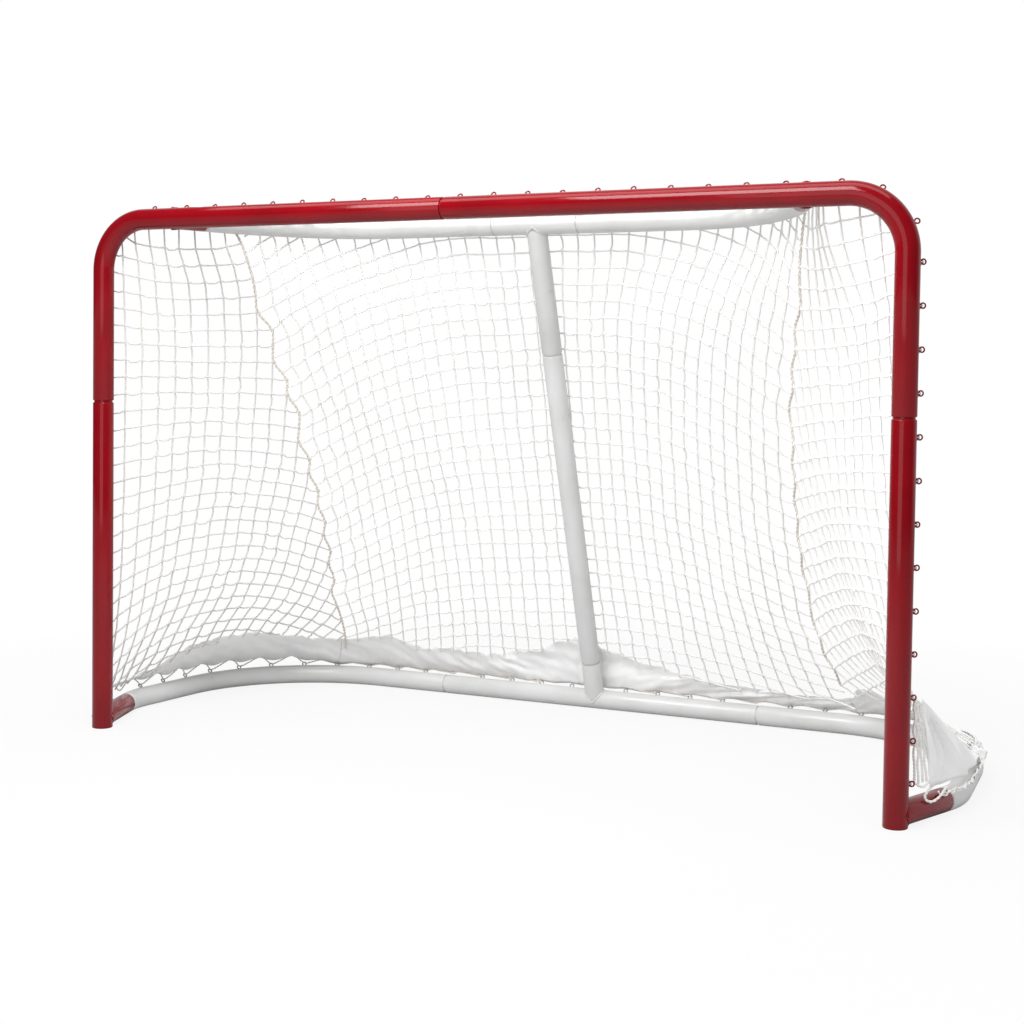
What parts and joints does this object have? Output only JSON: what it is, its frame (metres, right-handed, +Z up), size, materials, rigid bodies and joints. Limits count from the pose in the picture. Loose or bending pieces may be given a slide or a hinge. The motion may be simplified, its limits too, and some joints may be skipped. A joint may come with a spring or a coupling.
{
  "type": "ice hockey goal",
  "caption": "Ice hockey goal of bent round steel tube: red front frame, white base and top bar, wire lacing hooks, knotted net and a cloth skirt.",
  "frame": {"origin": "on the floor, under the middle of the bounding box", "axes": "+X along the crossbar, to the right for someone who faces the mouth; +Y from the mouth into the net; +Z up"},
  "size_m": [2.0824, 0.8406, 1.2312],
  "materials": {
    "red_paint": "glossy red paint on steel tube",
    "white_paint": "white gloss coat on steel tube",
    "net_twine": "off-white knotted nylon twine",
    "seam_twine": "thicker cream lacing cord",
    "nylon_cloth": "thin white nylon cloth"
  },
  "bodies": {
    "root": {"corner_left": "red_paint", "corner_right": "red_paint", "post_left": "red_paint", "post_right": "red_paint", "base_left": "white_paint", "base_centre": "white_paint", "base_right": "white_paint", "top_bar_left": "white_paint", "top_bar_centre": "white_paint", "top_bar_right": "white_paint", "centre_post": "white_paint", "net_left": "net_twine", "net_right": "net_twine", "net_back": "net_twine", "net_top": "net_twine", "seam_cord_left": "seam_twine", "seam_cord_right": "seam_twine", "skirt_left": "nylon_cloth", "skirt_back": "nylon_cloth", "skirt_right": "nylon_cloth"}
  },
  "joints": []
}
